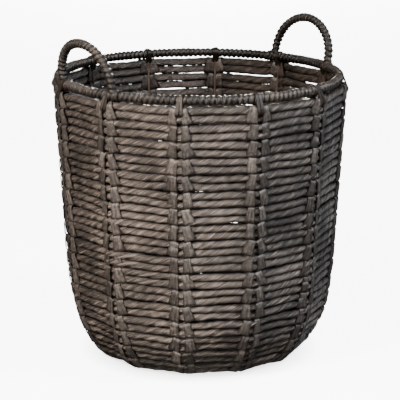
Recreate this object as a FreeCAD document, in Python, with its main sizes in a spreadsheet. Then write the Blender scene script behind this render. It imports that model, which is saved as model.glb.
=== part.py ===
import FreeCAD, Part
import math
import os
import Sketcher

# Round log basket: a welded wire frame (rim ring, ribs that turn under into spokes, base ring,
# hub ring, two handle loops) woven with pairs of twisted paper ropes that run straight from
# rib to rib on the outside of the wires. Flat paper lashings bind each pair to every rib, and
# paper cord is wound round the rim and the handles. Millimetres, +Z up, origin on the floor
# under the middle of the base, handles on -X (front) and +X (back).

DRIVING_DIMENSIONS = [
    ("rib_count", 12),
    ("rim_radius", 191.5),
    ("rim_wire_radius", 2.5),
    ("rim_winding_radius", 6.1),
    ("rim_winding_gap_angle", 1.0),
    ("rib_wire_radius", 1.5),
    ("wall_slope_angle", 3.5),
    ("wall_length", 243.5),
    ("belly_bend_radius", 763.0),
    ("belly_bend_angle", 3.8),
    ("lower_bend_radius", 150.0),
    ("lower_bend_angle", 29.8),
    ("heel_bend_radius", 24.0),
    ("flat_foot_length", 14.0),
    ("base_rise_angle", 2.5),
    ("hub_radius", 20.0),
    ("hub_wire_radius", 2.0),
    ("base_ring_radius", 112.0),
    ("base_ring_wire_radius", 2.0),
    ("rope_radius", 5.0),
    ("rope_spacing", 10.2),
    ("rope_standoff", 0.2),
    ("course_count", 17),
    ("first_course", 18.9),
    ("course_pitch", 22.26),
    ("base_course_count", 4),
    ("coil_spacing", 10.3),
    ("lashing_width", 10.0),
    ("lashing_thickness", 0.8),
    ("lashing_play", 0.1),
    ("lashing_offset", 3.5),
    ("tie_width", 3.0),
    ("handle_wire_radius", 1.75),
    ("handle_winding_radius", 5.8),
    ("handle_winding_start", 8.5),
    ("handle_half_width", 56.4),
    ("handle_arch_base", 11.5),
    ("handle_top", 62.6),
    ("handle_lean_angle", 10.8),
]

WELD_GAP = 0.05
WINDING_CLEARANCE = 0.1
TIE_GAP = 0.3
COIL_TURNS = 3
FULL_TURN = 360.0
WELD_DROP = "@rim_wire_radius + %g" % WELD_GAP
WELD_RADIUS = "@rim_radius - (%s) * tan(@wall_slope_angle * 1 deg)" % WELD_DROP

UP = FreeCAD.Vector(0, 0, 1)
ORIGIN = FreeCAD.Vector(0, 0, 0)

doc = FreeCAD.newDocument("log_basket")
sheet = doc.addObject("Spreadsheet::Sheet", "Dims")
sub_parts = []
next_row = 1


def add_cell(alias, value):
    """Write one named number into the next row of the sheet."""
    global next_row
    sheet.set("A%d" % next_row, alias)
    sheet.set("B%d" % next_row, repr(value))
    sheet.setAlias("B%d" % next_row, alias)
    next_row += 1


for dimension_name, dimension_value in DRIVING_DIMENSIONS:
    add_cell(dimension_name, dimension_value)
doc.recompute()


def dim(alias):
    """Read a named number back from the sheet."""
    return float(sheet.get(alias))


def bind(obj, prop, expression):
    """Tie a property to an expression, in which @ before a name stands for the sheet."""
    obj.setExpression(prop, expression.replace("@", "Dims."))


def name_sub_part(obj, node):
    """Give a finished object its node name and keep it for export."""
    obj.Label = node
    sub_parts.append(obj)


def turned(angle):
    """Placement turned about the vertical axis by an angle in degrees."""
    return FreeCAD.Placement(ORIGIN, FreeCAD.Rotation(UP, angle))


RIB_COUNT = int(dim("rib_count"))
BAY_ANGLE = FULL_TURN / RIB_COUNT
HALF_BAY = math.radians(BAY_ANGLE / 2)
RIB_ANGLES = [BAY_ANGLE * (index + 0.5) for index in range(RIB_COUNT)]
HEEL_ANGLE = 90.0 - dim("wall_slope_angle") - dim("belly_bend_angle") - dim("lower_bend_angle")
HEEL_END = (
    dim("wall_length")
    + math.radians(dim("belly_bend_angle")) * dim("belly_bend_radius")
    + math.radians(dim("lower_bend_angle")) * dim("lower_bend_radius")
    + math.radians(HEEL_ANGLE) * dim("heel_bend_radius")
)
ROPE_OFFSET = dim("rib_wire_radius") + dim("rope_standoff") + dim("rope_radius")


def rib_course(distance):
    """Radius, level against the rim and slope (radians from vertical) of a rib's centre line.

    The distance runs along the wire from the level of the rim.
    """
    radius = dim("rim_radius")
    height = 0.0
    slope = math.radians(dim("wall_slope_angle"))
    stretches = [(dim("wall_length"), None)]
    for name, angle in (
        ("belly_bend_radius", dim("belly_bend_angle")),
        ("lower_bend_radius", dim("lower_bend_angle")),
        ("heel_bend_radius", HEEL_ANGLE),
    ):
        stretches.append((math.radians(angle) * dim(name), dim(name)))
    stretches.append((dim("flat_foot_length"), None))
    for length, bend in stretches:
        step = min(length, distance)
        if bend is None:
            radius -= math.sin(slope) * step
            height -= math.cos(slope) * step
        else:
            end_slope = slope + step / bend
            radius -= bend * (math.cos(slope) - math.cos(end_slope))
            height -= bend * (math.sin(end_slope) - math.sin(slope))
            slope = end_slope
        distance -= step
        if distance <= 0:
            return radius, height, slope
    slope += math.radians(dim("base_rise_angle"))
    return radius - math.sin(slope) * distance, height - math.cos(slope) * distance, slope


# the lashings under the outermost base course stand on the floor
LASHED_DEPTH = ROPE_OFFSET + dim("rope_radius") + dim("lashing_play") + dim("lashing_thickness")
add_cell("rim_height", round(LASHED_DEPTH - rib_course(HEEL_END)[1], 3))
doc.recompute()


def rib_point(distance):
    """Radius, height above the floor and slope of a rib's centre line."""
    radius, height, slope = rib_course(distance)
    return radius, height + dim("rim_height"), slope


def rope_point(distance):
    """Corner radius and height of a rope that crosses the ribs at a distance along the wire."""
    radius, height, slope = rib_point(distance)
    return radius + ROPE_OFFSET * math.cos(slope), height - ROPE_OFFSET * math.sin(slope)


def course_distances():
    """Distance along the rib of the middle of every rope pair, wall courses first."""
    pitch = dim("course_pitch")
    wall = [dim("first_course") + index * pitch for index in range(int(dim("course_count")))]
    first_base = HEEL_END + dim("rope_spacing") / 2
    base = [first_base + index * pitch for index in range(int(dim("base_course_count")))]
    return wall, base


# ---------------------------------------------------------------- wire frame


def add_ring(node, radius_alias, wire_alias, height):
    """A closed ring of round wire, lying level."""
    ring = doc.addObject("Part::Torus", node)
    bind(ring, "Radius1", "@" + radius_alias)
    bind(ring, "Radius2", "@" + wire_alias)
    ring.Placement = FreeCAD.Placement(FreeCAD.Vector(0, 0, height), FreeCAD.Rotation())
    name_sub_part(ring, node)


def origin_plane(body, role):
    """One of a body's own origin planes."""
    return [feature for feature in body.Origin.OriginFeatures if feature.Role == role][0]


def arc_towards_axis(start, slope, bend, turn):
    """Arc of a bend that turns a downward wire towards the axis; returns it and its end point."""
    centre = FreeCAD.Vector(start.x - bend * math.cos(slope), start.y + bend * math.sin(slope), 0)
    end_slope = slope + turn
    end = FreeCAD.Vector(centre.x + bend * math.cos(end_slope), centre.y - bend * math.sin(end_slope), 0)
    return Part.ArcOfCircle(Part.Circle(centre, UP, bend), -end_slope, -slope), end


def add_rib_path(body):
    """Sketch of a rib's centre line: wall, three bends, flat foot and rising spoke."""
    path = body.newObject("Sketcher::SketchObject", "Path")
    path.AttachmentSupport = [(origin_plane(body, "XZ_Plane"), "")]
    path.MapMode = "FlatFace"
    slope = math.radians(dim("wall_slope_angle"))
    drop = dim("rim_wire_radius") + WELD_GAP
    start = FreeCAD.Vector(dim("rim_radius") - drop * math.tan(slope), dim("rim_height") - drop, 0)
    length = dim("wall_length") - drop / math.cos(slope)
    point = start + FreeCAD.Vector(-math.sin(slope), -math.cos(slope), 0) * length
    path.addGeometry(Part.LineSegment(start, point))
    bends = [
        ("belly_bend_radius", "belly_bend_angle", dim("belly_bend_angle")),
        ("lower_bend_radius", "lower_bend_angle", dim("lower_bend_angle")),
        ("heel_bend_radius", None, HEEL_ANGLE),
    ]
    for radius_alias, angle_alias, turn in bends:
        arc, point = arc_towards_axis(point, slope, dim(radius_alias), math.radians(turn))
        path.addGeometry(arc)
        slope += math.radians(turn)
    foot_end = point - FreeCAD.Vector(dim("flat_foot_length"), 0, 0)
    path.addGeometry(Part.LineSegment(point, foot_end))
    reach = foot_end.x - dim("hub_radius") - dim("hub_wire_radius") - WELD_GAP
    rise = reach * math.tan(math.radians(dim("base_rise_angle")))
    path.addGeometry(Part.LineSegment(foot_end, foot_end + FreeCAD.Vector(-reach, rise, 0)))
    spoke_heading = 180.0 - dim("base_rise_angle")

    path.addConstraint(Sketcher.Constraint("Tangent", 0, 2, 1, 2))
    path.addConstraint(Sketcher.Constraint("Tangent", 1, 1, 2, 2))
    path.addConstraint(Sketcher.Constraint("Tangent", 2, 1, 3, 2))
    path.addConstraint(Sketcher.Constraint("Tangent", 3, 1, 4, 1))
    path.addConstraint(Sketcher.Constraint("Coincident", 4, 2, 5, 1))
    path.addConstraint(Sketcher.Constraint("Horizontal", 4))
    wall_expression = "@wall_length - (%s) / cos(@wall_slope_angle * 1 deg)" % WELD_DROP
    heel_expression = "90 - @wall_slope_angle - @belly_bend_angle - @lower_bend_angle"
    hub_expression = "@hub_radius + @hub_wire_radius + %g" % WELD_GAP
    sized = [
        ("DistanceX", (-1, 1, 0, 1), start.x, WELD_RADIUS),
        ("DistanceY", (-1, 1, 0, 1), start.y, "@rim_height - (%s)" % WELD_DROP),
        ("Distance", (0,), length, wall_expression),
        ("Radius", (1,), dim("belly_bend_radius"), "@belly_bend_radius"),
        ("Radius", (2,), dim("lower_bend_radius"), "@lower_bend_radius"),
        ("Radius", (3,), dim("heel_bend_radius"), "@heel_bend_radius"),
        ("Angle", (1,), math.radians(dim("belly_bend_angle")), "@belly_bend_angle"),
        ("Angle", (2,), math.radians(dim("lower_bend_angle")), "@lower_bend_angle"),
        ("Angle", (3,), math.radians(HEEL_ANGLE), heel_expression),
        ("Distance", (4,), dim("flat_foot_length"), "@flat_foot_length"),
        ("DistanceX", (-1, 1, 5, 2), foot_end.x - reach, hub_expression),
        ("Angle", (5,), math.radians(spoke_heading), "180 - @base_rise_angle"),
    ]
    for kind, geometry, value, expression in sized:
        constraint = path.addConstraint(Sketcher.Constraint(kind, *geometry, value))
        bind(path, "Constraints[%d]" % constraint, expression)
    return path


def add_rib(number, angle):
    """One rib: a wire from the rim down the wall, under the base and in to the hub ring."""
    node = "rib_%02d" % number
    body = doc.addObject("PartDesign::Body", node)
    path = add_rib_path(body)
    section = body.newObject("Sketcher::SketchObject", "Section")
    section.AttachmentSupport = [(origin_plane(body, "XY_Plane"), "")]
    section.MapMode = "FlatFace"
    bind(section, ".AttachmentOffset.Base.z", "@rim_height - (%s)" % WELD_DROP)
    weld_drop = dim("rim_wire_radius") + WELD_GAP
    weld_radius = dim("rim_radius") - weld_drop * math.tan(math.radians(dim("wall_slope_angle")))
    wire_section = Part.Circle(FreeCAD.Vector(weld_radius, 0, 0), UP, dim("rib_wire_radius"))
    section.addGeometry(wire_section)
    radius = section.addConstraint(Sketcher.Constraint("Radius", 0, dim("rib_wire_radius")))
    bind(section, "Constraints[%d]" % radius, "@rib_wire_radius")
    centre = section.addConstraint(Sketcher.Constraint("DistanceX", -1, 1, 0, 3, weld_radius))
    bind(section, "Constraints[%d]" % centre, WELD_RADIUS)
    section.addConstraint(Sketcher.Constraint("PointOnObject", 0, 3, -1))
    pipe = body.newObject("PartDesign::AdditivePipe", "Wire")
    pipe.Profile = section
    pipe.Spine = (path, ["Edge%d" % (index + 1) for index in range(path.GeometryCount)])
    pipe.Transition = "Transformed"
    body.Placement = turned(angle)
    name_sub_part(body, node)


# ------------------------------------------------------------- woven courses


def add_rope(name):
    """A rope laid once round the ribs: straight runs with a corner at every rib."""
    route = doc.addObject("Part::RegularPolygon", name + "_route")
    bind(route, "Polygon", "@rib_count")
    bind(route, "Circumradius", "@" + name + "_radius")
    bind(route, ".Placement.Base.z", "@" + name + "_height")
    section = doc.addObject("Part::Circle", name + "_section")
    bind(section, "Radius", "@rope_radius")
    bind(section, ".Placement.Base.x", "@" + name + "_radius")
    bind(section, ".Placement.Base.z", "@" + name + "_height")
    first_run = FreeCAD.Vector(-math.sin(HALF_BAY), math.cos(HALF_BAY), 0)
    section.Placement = FreeCAD.Placement(ORIGIN, FreeCAD.Rotation(UP, first_run))
    rope = doc.addObject("Part::Sweep", name)
    rope.Sections = [section]
    rope.Spine = (route, ["Edge%d" % (index + 1) for index in range(RIB_COUNT)])
    rope.Solid = True
    rope.Frenet = False
    rope.Transition = "Right corner"
    return rope


def add_course_cells(node, distance):
    """Work out where a course's two ropes lie and put both places in the sheet."""
    for side, shift in (("upper", -0.5), ("lower", 0.5)):
        radius, height = rope_point(distance + shift * dim("rope_spacing"))
        add_cell("%s_%s_radius" % (node, side), round(radius, 3))
        add_cell("%s_%s_height" % (node, side), round(height, 3))


def add_course(node):
    """A pair of ropes, one above the other (or one outside the other under the base)."""
    ropes = [add_rope(node + "_upper"), add_rope(node + "_lower")]
    pair = doc.addObject("Part::Compound", node)
    pair.Links = ropes
    pair.Placement = turned(BAY_ANGLE / 2)
    name_sub_part(pair, node)


def add_centre_coil(last_distance):
    """Plain rings of rope that close the middle of the base, under the hub ring."""
    rings = []
    first = last_distance + dim("course_pitch") - dim("rope_spacing") / 2
    for turn in range(COIL_TURNS):
        radius, height = rope_point(first + turn * dim("coil_spacing"))
        ring = doc.addObject("Part::Torus", "coil_ring_%d" % (turn + 1))
        ring.Radius1 = radius
        bind(ring, "Radius2", "@rope_radius")
        ring.Placement = FreeCAD.Placement(FreeCAD.Vector(0, 0, height), FreeCAD.Rotation())
        rings.append(ring)
    coil = doc.addObject("Part::Compound", "centre_coil")
    coil.Links = rings
    name_sub_part(coil, "centre_coil")


# ------------------------------------------------------------------ lashings


def flat_loop(width, inner_length, inner_depth, thickness):
    """A flat band bent into a closed rectangular loop, centred on the origin.

    The band's width lies along X, the loop is inner_length along Z and inner_depth along Y.
    """
    outer = Part.makeBox(
        width,
        inner_depth + 2 * thickness,
        inner_length + 2 * thickness,
        FreeCAD.Vector(-width / 2, -inner_depth / 2 - thickness, -inner_length / 2 - thickness),
    )
    inner = Part.makeBox(
        2 * width,
        inner_depth,
        inner_length,
        FreeCAD.Vector(-width, -inner_depth / 2, -inner_length / 2),
    )
    return outer.cut(inner)


def lashings_at_rib(distance):
    """The two loops that bind one rope pair, left and right of a rib that lies on +X."""
    upper_radius, upper_height = rope_point(distance - dim("rope_spacing") / 2)
    lower_radius, lower_height = rope_point(distance + dim("rope_spacing") / 2)
    # the same two rope centres seen along the straight run beside the rib
    across = (upper_radius - lower_radius) * math.cos(HALF_BAY)
    along = upper_height - lower_height
    spread = math.hypot(across, along)
    middle_radius = (upper_radius + lower_radius) / 2
    middle_height = (upper_height + lower_height) / 2
    half_run = lower_radius * math.sin(HALF_BAY)
    width = min(dim("lashing_width"), half_run - dim("lashing_offset") - dim("lashing_play"))
    rope_space = 2 * (dim("rope_radius") + dim("lashing_play"))
    loops = []
    for side in (-1, 1):
        loop = flat_loop(width, spread + rope_space, rope_space, dim("lashing_thickness"))
        tilt = math.degrees(math.atan2(across, along))
        loop.rotate(ORIGIN, FreeCAD.Vector(1, 0, 0), -tilt)
        # local X now runs along the rope; turn it so that local Y points out of the wall
        loop.rotate(ORIGIN, UP, -90 + side * BAY_ANGLE / 2)
        run = FreeCAD.Vector(-math.sin(HALF_BAY), side * math.cos(HALF_BAY), 0)
        corner = FreeCAD.Vector(middle_radius, 0, middle_height)
        loop.translate(corner + run * (dim("lashing_offset") + width / 2))
        loops.append(loop)
    return loops


def turned_copies(shapes, angle):
    """Copies of shapes turned about the vertical axis."""
    copies = []
    for shape in shapes:
        copy = shape.copy()
        copy.rotate(ORIGIN, UP, angle)
        copies.append(copy)
    return copies


def add_solid_group(node, shapes):
    """A sub-part that is a group of separate equal pieces."""
    group = doc.addObject("Part::Feature", node)
    group.Shape = Part.makeCompound(shapes)
    group.Placement = FreeCAD.Placement()
    name_sub_part(group, node)


def add_rib_lashings(number, angle, distances):
    """Every lashing along one rib, except the ones that the basket stands on."""
    loops = []
    for distance in distances:
        loops += lashings_at_rib(distance)
    add_solid_group("lashings_%02d" % number, turned_copies(loops, angle))


def add_foot_lashings(distance):
    """The lashings of the outermost base course, whose flat undersides are what it stands on."""
    pair = lashings_at_rib(distance)
    loops = []
    for angle in RIB_ANGLES:
        loops += turned_copies(pair, angle)
    add_solid_group("foot_lashings", loops)


def add_rim_ties():
    """Flat loops round the wound rim on both sides of every rib."""
    space = 2 * (dim("rim_winding_radius") + WINDING_CLEARANCE)
    shift = dim("rib_wire_radius") + TIE_GAP + dim("tie_width") / 2
    shift_angle = math.degrees(shift / dim("rim_radius"))
    loop = flat_loop(dim("tie_width"), space, space, dim("lashing_thickness"))
    loop.rotate(ORIGIN, UP, -90)
    loop.translate(FreeCAD.Vector(dim("rim_radius"), 0, dim("rim_height")))
    ties = []
    for angle in RIB_ANGLES:
        for side in (-1, 1):
            ties += turned_copies([loop], angle + side * shift_angle)
    add_solid_group("rim_ties", ties)


# -------------------------------------------------------------- wound cover


def winding_bays():
    """Start and stop angle of the rim's winding in each bay, clear of ribs and handle feet."""
    gap = dim("rim_winding_gap_angle") / 2
    foot_angle = math.degrees(math.asin(dim("handle_half_width") / dim("rim_radius")))
    foot_gap = foot_angle - BAY_ANGLE / 2 + math.degrees(dim("handle_wire_radius") / dim("rim_radius")) / 2
    after_foot = (0, RIB_COUNT // 2)
    before_foot = (RIB_COUNT // 2 - 2, RIB_COUNT - 2)
    bays = []
    for index, angle in enumerate(RIB_ANGLES):
        start = angle + gap
        stop = angle + BAY_ANGLE - gap
        if index in after_foot:
            start += foot_gap
        if index in before_foot:
            stop -= foot_gap
        bays.append((start, stop))
    return bays


def add_rim_winding():
    """Cord wound round the rim wire, one hollow length in each bay."""
    lengths = []
    kinds = (
        ("cover", "@rim_winding_radius"),
        ("core", "@rim_wire_radius + %g" % WINDING_CLEARANCE),
    )
    for number, (start, stop) in enumerate(winding_bays(), start=1):
        tubes = []
        for kind, radius in kinds:
            tube = doc.addObject("Part::Torus", "rim_%s_%02d" % (kind, number))
            bind(tube, "Radius1", "@rim_radius")
            bind(tube, "Radius2", radius)
            tube.Angle3 = stop - start
            tube.Placement = turned(start)
            tube.Placement.Base.z = dim("rim_height")
            tubes.append(tube)
        hollow = doc.addObject("Part::Cut", "rim_winding_%02d" % number)
        hollow.Base, hollow.Tool = tubes
        lengths.append(hollow)
    winding = doc.addObject("Part::Compound", "rim_winding")
    winding.Links = lengths
    name_sub_part(winding, "rim_winding")


def add_handle_leg(name, x, start):
    """Straight leg of a handle's centre line, from its lower end up to the arch."""
    leg = doc.addObject("Part::Line", name)
    leg.X1, leg.Y1, leg.Z1 = x, start, 0
    leg.X2, leg.Y2, leg.Z2 = x, dim("handle_arch_base"), 0
    return leg


def add_handle_route(name, start):
    """Centre line of a handle in its own plane: X across, Y up from the rim, arch on top."""
    half_width = dim("handle_half_width")
    arch = doc.addObject("Part::Ellipse", name + "_arch")
    bind(arch, "MajorRadius", "@handle_half_width")
    bind(arch, "MinorRadius", "@handle_top - @handle_arch_base")
    arch.Angle1, arch.Angle2 = 0, FULL_TURN / 2
    arch.Placement = FreeCAD.Placement(FreeCAD.Vector(0, dim("handle_arch_base"), 0), FreeCAD.Rotation())
    right = add_handle_leg(name + "_right_leg", half_width, start)
    left = add_handle_leg(name + "_left_leg", -half_width, start)
    route = doc.addObject("Part::Compound", name + "_route")
    route.Links = [right, arch, left]
    return route


def sweep_handle_bar(name, start, radius_expression):
    """A round bar along a handle's centre line, with both ends at one height in its plane."""
    route = add_handle_route(name, start)
    foot = FreeCAD.Vector(dim("handle_half_width"), start, 0)
    section = doc.addObject("Part::Circle", name + "_section")
    bind(section, "Radius", radius_expression)
    section.Placement = FreeCAD.Placement(foot, FreeCAD.Rotation(UP, FreeCAD.Vector(0, 1, 0)))
    bar = doc.addObject("Part::Sweep", name)
    bar.Sections = [section]
    bar.Spine = (route, ["Edge%d" % (index + 1) for index in range(len(route.Links))])
    bar.Solid = True
    bar.Frenet = False
    bar.Transition = "Round corner"
    return bar


def handle_placement(outward):
    """Stands a handle's own plane on the rim, leaning out, on the +X or -X side."""
    lean = FreeCAD.Rotation(FreeCAD.Vector(1, 0, 0), 90 + dim("handle_lean_angle"))
    facing = FreeCAD.Rotation(UP, outward * 90)
    foot_distance = math.sqrt(dim("rim_radius") ** 2 - dim("handle_half_width") ** 2)
    foot = FreeCAD.Vector(outward * foot_distance, 0, dim("rim_height"))
    return FreeCAD.Placement(foot, facing * lean)


def add_handle(side, outward):
    """A handle: its bent wire, and the cord wound round it above the rim."""
    foot = dim("rim_wire_radius") + WELD_GAP
    wire = sweep_handle_bar(side + "_handle_wire", foot, "@handle_wire_radius")
    wire.Placement = handle_placement(outward)
    name_sub_part(wire, side + "_handle_wire")

    name = side + "_handle_winding"
    start = dim("handle_winding_start")
    winding = doc.addObject("Part::Cut", name)
    winding.Base = sweep_handle_bar(name + "_cover", start, "@handle_winding_radius")
    winding.Tool = sweep_handle_bar(name + "_core", start, "@handle_wire_radius + %g" % WINDING_CLEARANCE)
    winding.Placement = handle_placement(outward)
    name_sub_part(winding, name)


# ------------------------------------------------------------------ assembly

wall_courses, base_courses = course_distances()
courses = {"course_%02d" % number: distance for number, distance in enumerate(wall_courses, start=1)}
for course_number, course_distance in enumerate(base_courses, start=1):
    courses["base_course_%02d" % course_number] = course_distance
for course_node, course_distance in courses.items():
    add_course_cells(course_node, course_distance)
doc.recompute()

add_ring("rim_ring", "rim_radius", "rim_wire_radius", dim("rim_height"))
for rib_number, rib_angle in enumerate(RIB_ANGLES, start=1):
    add_rib(rib_number, rib_angle)
spoke_radius, spoke_height, _ = rib_point(HEEL_END + dim("flat_foot_length"))
spoke_rise = math.tan(math.radians(dim("base_rise_angle")))
ring_lift = dim("rib_wire_radius") + dim("base_ring_wire_radius") + WELD_GAP
ring_height = spoke_height + (spoke_radius - dim("base_ring_radius")) * spoke_rise + ring_lift
add_ring("base_ring", "base_ring_radius", "base_ring_wire_radius", ring_height)
hub_height = spoke_height + (spoke_radius - dim("hub_radius")) * spoke_rise
add_ring("hub_ring", "hub_radius", "hub_wire_radius", hub_height)

for course_node in courses:
    add_course(course_node)
add_centre_coil(base_courses[-1])

for rib_number, rib_angle in enumerate(RIB_ANGLES, start=1):
    add_rib_lashings(rib_number, rib_angle, wall_courses + base_courses[1:])
add_foot_lashings(base_courses[0])
add_rim_winding()
add_rim_ties()
add_handle("front", -1)
add_handle("back", 1)

doc.recompute()

# -------------------------------------------------------------------- checks

for obj in doc.Objects:
    if "Invalid" in obj.State or "Error" in obj.State:
        raise RuntimeError("%s failed: %s" % (obj.Label, obj.State))
for obj in sub_parts:
    if obj.Shape.isNull() or not obj.Shape.isValid():
        raise RuntimeError("%s has no valid shape" % obj.Label)
    if not obj.Shape.Solids or min(solid.Volume for solid in obj.Shape.Solids) <= 0:
        raise RuntimeError("%s has a solid with no volume" % obj.Label)

os.makedirs("parts", exist_ok=True)
for obj in sub_parts:
    obj.Shape.exportStep("parts/%s.step" % obj.Label)

lowest = min(obj.Shape.BoundBox.ZMin for obj in sub_parts)
highest = max(obj.Shape.BoundBox.ZMax for obj in sub_parts)
print("%d sub-parts, from z = %.3f to %.3f" % (len(sub_parts), lowest, highest))
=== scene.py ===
import logging
import math
import random
from dataclasses import dataclass, field, replace
from enum import Enum
from typing import Optional, Sequence, Union

import bpy
from mathutils import Matrix, Vector


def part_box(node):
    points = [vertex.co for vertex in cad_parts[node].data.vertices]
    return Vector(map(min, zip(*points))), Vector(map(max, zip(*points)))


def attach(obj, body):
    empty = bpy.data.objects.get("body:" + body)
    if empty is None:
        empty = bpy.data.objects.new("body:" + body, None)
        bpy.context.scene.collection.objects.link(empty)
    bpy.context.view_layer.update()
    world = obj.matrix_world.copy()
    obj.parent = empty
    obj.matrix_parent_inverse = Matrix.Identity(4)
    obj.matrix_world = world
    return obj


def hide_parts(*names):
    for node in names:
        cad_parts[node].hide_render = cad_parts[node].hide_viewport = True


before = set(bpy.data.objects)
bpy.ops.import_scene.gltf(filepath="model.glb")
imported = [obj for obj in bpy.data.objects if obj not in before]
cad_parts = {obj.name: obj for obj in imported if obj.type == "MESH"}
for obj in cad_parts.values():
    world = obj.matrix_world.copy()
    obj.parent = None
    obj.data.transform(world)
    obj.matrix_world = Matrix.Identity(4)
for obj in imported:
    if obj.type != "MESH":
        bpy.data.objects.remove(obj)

# The looks of a round log basket: pairs of twisted paper ropes laid round a wire frame, flat
# paper lashings at every rib, and paper cord wound round the rim and the two handles. Metres.

log = logging.getLogger("log_basket")

BODY = "root"
UP = Vector((0, 0, 1))
FULL_TURN = 2 * math.pi

Socket = bpy.types.NodeSocket
Value = Union[float, int, bool, Sequence[float], Socket]
Colour = tuple[float, float, float]
Place = tuple[Vector, Vector, Vector]

# Noise runs from 0 to 1 round this middle. The detail is how many finer layers it has.
NOISE_MIDDLE = 0.5
FINE_DETAIL = 3.0
COARSE_DETAIL = 1.0
# What noise is multiplied by, so that a named reach is about the longest offset that it gives.
WANDER_GAIN = 4.0
CRUMPLE_GAIN = 2.0
SWELLING_GAIN = 2.0
# The second number that a seed gives is this many times the first.
SEED_SKEW = 1.7
# How many bends, swellings and dents a metre holds, and how many lumps a turn of the lay holds.
BENDS_RATE = 14.0
SWELLING_RATE = 32.0
DENT_RATE = 130.0
LUMP_RATE = 2.4
# Edges of a band that turn by more than this stay sharp.
SHARP_ANGLE = math.radians(50)
# How many points round off a corner of a rope's path and of a band's loop.
ROPE_CORNER_POINTS = 4
BAND_CORNER_POINTS = 3
# How steeply the painted shade in the crevice between two ropes darkens.
CREVICE_POWER = 3.0
# CAD wires that stay visible, by the start of their names.
WIRE_NODES = ("rib_", "rim_ring", "base_ring", "hub_ring", "front_handle_wire", "back_handle_wire")


class Slot(Enum):
    """Names of material slots, one for each kind of piece."""

    ROPE = "twisted_rope"
    BAND = "paper_band"
    CORD = "wound_cord"


class Side(Enum):
    """The two handles, by the side of the basket that they stand on."""

    FRONT = -1
    BACK = 1


# ------------------------------------------------------------------ node trees


class TreeBuilder:
    """A small helper that adds nodes to a node tree and links them."""

    def __init__(self, tree: bpy.types.NodeTree) -> None:
        """Wrap an existing tree.

        Args:
            tree: the geometry or shader tree to add nodes to.
        """
        self.tree = tree

    def add(self, kind: str, inputs: Optional[dict] = None, **settings: object) -> bpy.types.Node:
        """Add a node, set its properties and fill its inputs.

        Args:
            kind: the node's Blender type name.
            inputs: input name or index, with a value or a socket to link.
            settings: properties of the node itself.

        Returns:
            The new node.
        """
        node = self.tree.nodes.new(kind)
        for name, value in settings.items():
            setattr(node, name, value)
        for key, value in (inputs or {}).items():
            self.fill(node.inputs[key], value)
        return node

    def fill(self, socket: Socket, value: Value) -> None:
        """Link a socket to another one, or give it a plain value."""
        if isinstance(value, Socket):
            self.tree.links.new(value, socket)
        else:
            socket.default_value = value

    def math(
        self, operation: str, first: Value, second: Value = 0.0, third: Value = 0.0
    ) -> Socket:
        """A math node's result.

        Args:
            operation: the math node's operation.
            first: first operand.
            second: second operand, if the operation has one.
            third: third operand, if the operation has one.

        Returns:
            The result socket.
        """
        operands = {0: first, 1: second, 2: third}
        return self.add("ShaderNodeMath", operands, operation=operation).outputs[0]

    def blend(self, first: Value, second: Value, share: float) -> Socket:
        """Two numbers mixed, where the second one has a share from 0 to 1."""
        rest = self.math("MULTIPLY", first, 1.0 - share)
        return self.math("MULTIPLY_ADD", second, share, rest)

    def vector(self, operation: str, first: Value, second: Value = (0, 0, 0)) -> Socket:
        """The vector result of a vector math node on two vectors."""
        operands = {0: first, 1: second}
        return self.add("ShaderNodeVectorMath", operands, operation=operation).outputs[0]

    def scaled(self, vector: Value, factor: Value) -> Socket:
        """A vector times a number."""
        operands = {0: vector, "Scale": factor}
        return self.add("ShaderNodeVectorMath", operands, operation="SCALE").outputs[0]

    def dot(self, first: Value, second: Value) -> Socket:
        """The dot product of two vectors."""
        operands = {0: first, 1: second}
        node = self.add("ShaderNodeVectorMath", operands, operation="DOT_PRODUCT")
        return node.outputs["Value"]

    def combine(self, x: Value, y: Value, z: Value) -> Socket:
        """A vector made of three numbers."""
        return self.add("ShaderNodeCombineXYZ", {0: x, 1: y, 2: z}).outputs[0]

    def noise(
        self, vector: Value, scale: Value, detail: float = 2.0, output: str = "Fac"
    ) -> Socket:
        """A noise texture's value (Fac) or vector (Color) at a place.

        Args:
            vector: where to read it.
            scale: how many features a unit of length holds.
            detail: how many finer layers it has.
            output: "Fac" or "Color".

        Returns:
            The chosen output socket.
        """
        inputs = {"Vector": vector, "Scale": scale, "Detail": detail}
        return self.add("ShaderNodeTexNoise", inputs).outputs[output]


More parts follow.
